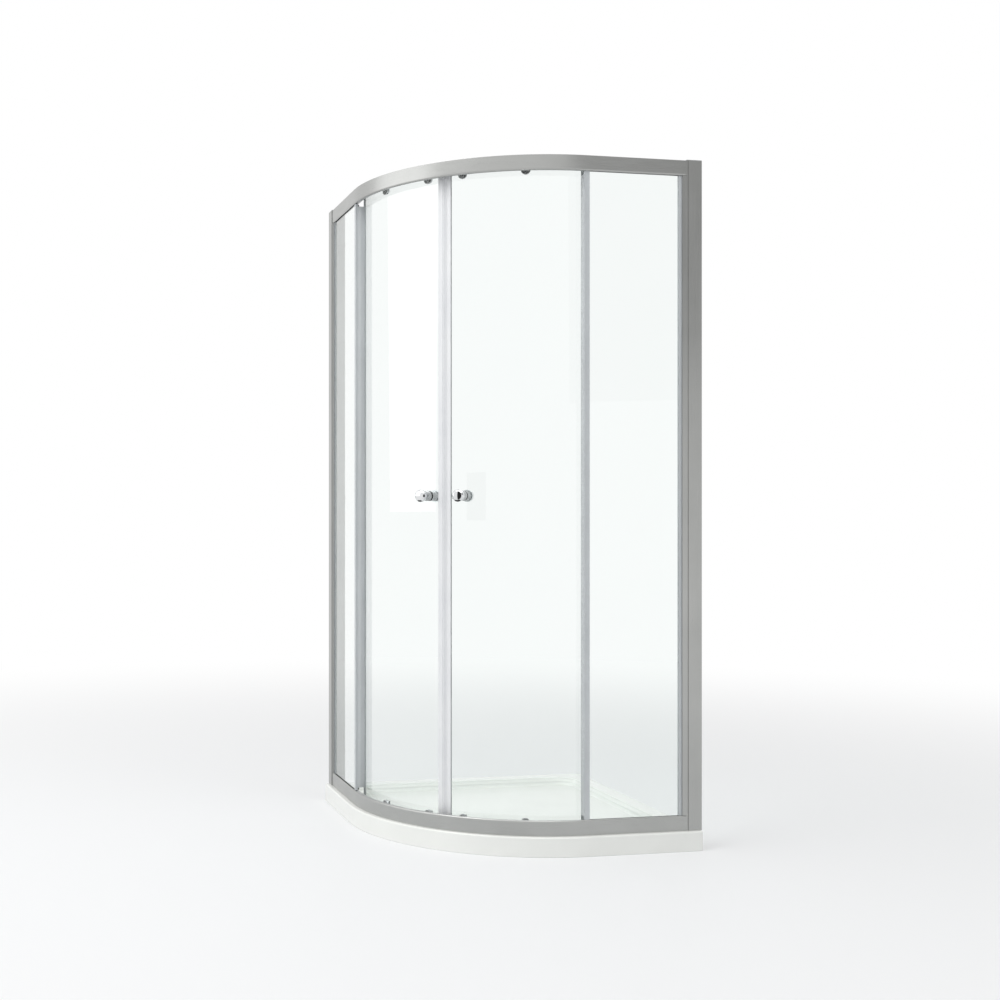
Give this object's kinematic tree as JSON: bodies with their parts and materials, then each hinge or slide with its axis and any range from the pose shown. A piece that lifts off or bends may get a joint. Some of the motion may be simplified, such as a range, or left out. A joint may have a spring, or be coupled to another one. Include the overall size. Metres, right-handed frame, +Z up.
{
  "type": "quadrant shower enclosure",
  "caption": "Quadrant corner shower enclosure on a low tray, with flat fixed panels and curved sliding doors on rollers in curved aluminium rails.",
  "frame": {"origin": "on the floor, under the middle of the tray's square", "axes": "+Z up; the two walls are at +X and +Y, and the doors meet on the diagonal towards -X -Y"},
  "size_m": [0.9, 0.9, 1.958],
  "materials": {
    "tray": "gloss white",
    "aluminium": "satin silver",
    "grey_plastic": "satin grey",
    "white_plastic": "satin white",
    "wheel_plastic": "smooth",
    "steel": "brushed",
    "chrome": "polished",
    "rubber": "matte",
    "clear_seal": "translucent",
    "glass": "clear"
  },
  "bodies": {
    "root": {"shower_tray": "tray", "waste_body": "chrome", "waste_nut": "white_plastic", "waste_seals": "rubber", "waste_cover": "chrome", "bottom_rail": "aluminium", "top_rail": "aluminium", "infill_strips": "grey_plastic", "rail_end_screws": "steel", "wall_profile_left": "aluminium", "wall_profile_right": "aluminium", "side_profile_left": "aluminium", "side_profile_right": "aluminium", "fixing_screws": "steel", "fixing_screw_caps": "grey_plastic", "profile_caps": "grey_plastic", "fixed_glass_left": "glass", "fixed_glass_right": "glass", "edge_gaskets": "clear_seal", "rail_gaskets": "rubber", "setting_blocks": "rubber", "panel_seal_left": "clear_seal", "panel_seal_right": "clear_seal", "roller_stops": "rubber"},
    "door_left": {"door_glass_left": "glass", "meeting_seal_left": "clear_seal", "trailing_seal_left": "clear_seal", "upper_carriers_left": "grey_plastic", "upper_axles_left": "steel", "carrier_nuts_left": "chrome", "lower_guides_left": "grey_plastic", "release_spring_near_left": "white_plastic", "release_spring_far_left": "white_plastic", "knob_outer_left": "chrome", "knob_inner_left": "chrome", "knob_fittings_left": "rubber"},
    "upper_wheel_near_left": {"upper_wheel_near_left": "wheel_plastic"},
    "lower_slider_near_left": {"lower_slider_near_left": "grey_plastic"},
    "lower_wheel_near_left": {"lower_wheel_near_left": "wheel_plastic"},
    "upper_wheel_far_left": {"upper_wheel_far_left": "wheel_plastic"},
    "lower_slider_far_left": {"lower_slider_far_left": "grey_plastic"},
    "lower_wheel_far_left": {"lower_wheel_far_left": "wheel_plastic"},
    "door_right": {"door_glass_right": "glass", "meeting_seal_right": "clear_seal", "trailing_seal_right": "clear_seal", "upper_carriers_right": "grey_plastic", "upper_axles_right": "steel", "carrier_nuts_right": "chrome", "lower_guides_right": "grey_plastic", "release_spring_near_right": "white_plastic", "release_spring_far_right": "white_plastic", "knob_outer_right": "chrome", "knob_inner_right": "chrome", "knob_fittings_right": "rubber"},
    "upper_wheel_near_right": {"upper_wheel_near_right": "wheel_plastic"},
    "lower_slider_near_right": {"lower_slider_near_right": "grey_plastic"},
    "lower_wheel_near_right": {"lower_wheel_near_right": "wheel_plastic"},
    "upper_wheel_far_right": {"upper_wheel_far_right": "wheel_plastic"},
    "lower_slider_far_right": {"lower_slider_far_right": "grey_plastic"},
    "lower_wheel_far_right": {"lower_wheel_far_right": "wheel_plastic"}
  },
  "joints": [
    {"name": "door_left_roll", "type": "hinge", "parent": "root", "child": "door_left", "pos_m": [0.1, 0.1, 0.056], "axis": [0, 0, -1], "range_deg": [0, 24]},
    {"name": "upper_wheel_near_left_spin", "type": "hinge", "parent": "door_left", "child": "upper_wheel_near_left", "pos_m": [-0.29936, -0.2188, 1.9375], "axis": [-0.7815, -0.6239, 0], "range_deg": [0, 1300]},
    {"name": "lower_slider_near_left_press", "type": "slide", "parent": "door_left", "child": "lower_slider_near_left", "axis": [0, 0, -1], "range_m": [0, 0.004], "stiffness_N_per_m": 1000, "springref_m": -0.004, "deforming": ["release_spring_near_left"]},
    {"name": "lower_wheel_near_left_spin", "type": "hinge", "parent": "lower_slider_near_left", "child": "lower_wheel_near_left", "pos_m": [-0.29936, -0.2188, 0.0745], "axis": [-0.7815, -0.6239, 0], "range_deg": [-1300, 0]},
    {"name": "upper_wheel_far_left_spin", "type": "hinge", "parent": "door_left", "child": "upper_wheel_far_left", "pos_m": [-0.38599, -0.05791, 1.9375], "axis": [-0.9511, -0.309, 0], "range_deg": [0, 1300]},
    {"name": "lower_slider_far_left_press", "type": "slide", "parent": "door_left", "child": "lower_slider_far_left", "axis": [0, 0, -1], "range_m": [0, 0.004], "stiffness_N_per_m": 1000, "springref_m": -0.004, "deforming": ["release_spring_far_left"]},
    {"name": "lower_wheel_far_left_spin", "type": "hinge", "parent": "lower_slider_far_left", "child": "lower_wheel_far_left", "pos_m": [-0.38599, -0.05791, 0.0745], "axis": [-0.9511, -0.309, 0], "range_deg": [-1300, 0]},
    {"name": "door_right_roll", "type": "hinge", "parent": "root", "child": "door_right", "pos_m": [0.1, 0.1, 0.056], "axis": [0, 0, 1], "range_deg": [0, 24]},
    {"name": "upper_wheel_near_right_spin", "type": "hinge", "parent": "door_right", "child": "upper_wheel_near_right", "pos_m": [-0.2188, -0.29936, 1.9375], "axis": [-0.6239, -0.7815, 0], "range_deg": [-1300, 0]},
    {"name": "lower_slider_near_right_press", "type": "slide", "parent": "door_right", "child": "lower_slider_near_right", "axis": [0, 0, -1], "range_m": [0, 0.004], "stiffness_N_per_m": 1000, "springref_m": -0.004, "deforming": ["release_spring_near_right"]},
    {"name": "lower_wheel_near_right_spin", "type": "hinge", "parent": "lower_slider_near_right", "child": "lower_wheel_near_right", "pos_m": [-0.2188, -0.29936, 0.0745], "axis": [-0.6239, -0.7815, 0], "range_deg": [0, 1300]},
    {"name": "upper_wheel_far_right_spin", "type": "hinge", "parent": "door_right", "child": "upper_wheel_far_right", "pos_m": [-0.05791, -0.38599, 1.9375], "axis": [-0.309, -0.9511, 0], "range_deg": [-1300, 0]},
    {"name": "lower_slider_far_right_press", "type": "slide", "parent": "door_right", "child": "lower_slider_far_right", "axis": [0, 0, -1], "range_m": [0, 0.004], "stiffness_N_per_m": 1000, "springref_m": -0.004, "deforming": ["release_spring_far_right"]},
    {"name": "lower_wheel_far_right_spin", "type": "hinge", "parent": "lower_slider_far_right", "child": "lower_wheel_far_right", "pos_m": [-0.05791, -0.38599, 0.0745], "axis": [-0.309, -0.9511, 0], "range_deg": [0, 1300]}
  ],
  "couplings": [
    {"joint": "upper_wheel_near_left_spin", "follows": "door_left_roll", "ratio": 53.789},
    {"joint": "lower_wheel_near_left_spin", "follows": "door_left_roll", "ratio": -53.789},
    {"joint": "upper_wheel_far_left_spin", "follows": "door_left_roll", "ratio": 53.789},
    {"joint": "lower_wheel_far_left_spin", "follows": "door_left_roll", "ratio": -53.789},
    {"joint": "upper_wheel_near_right_spin", "follows": "door_right_roll", "ratio": -53.789},
    {"joint": "lower_wheel_near_right_spin", "follows": "door_right_roll", "ratio": 53.789},
    {"joint": "upper_wheel_far_right_spin", "follows": "door_right_roll", "ratio": -53.789},
    {"joint": "lower_wheel_far_right_spin", "follows": "door_right_roll", "ratio": 53.789}
  ]
}
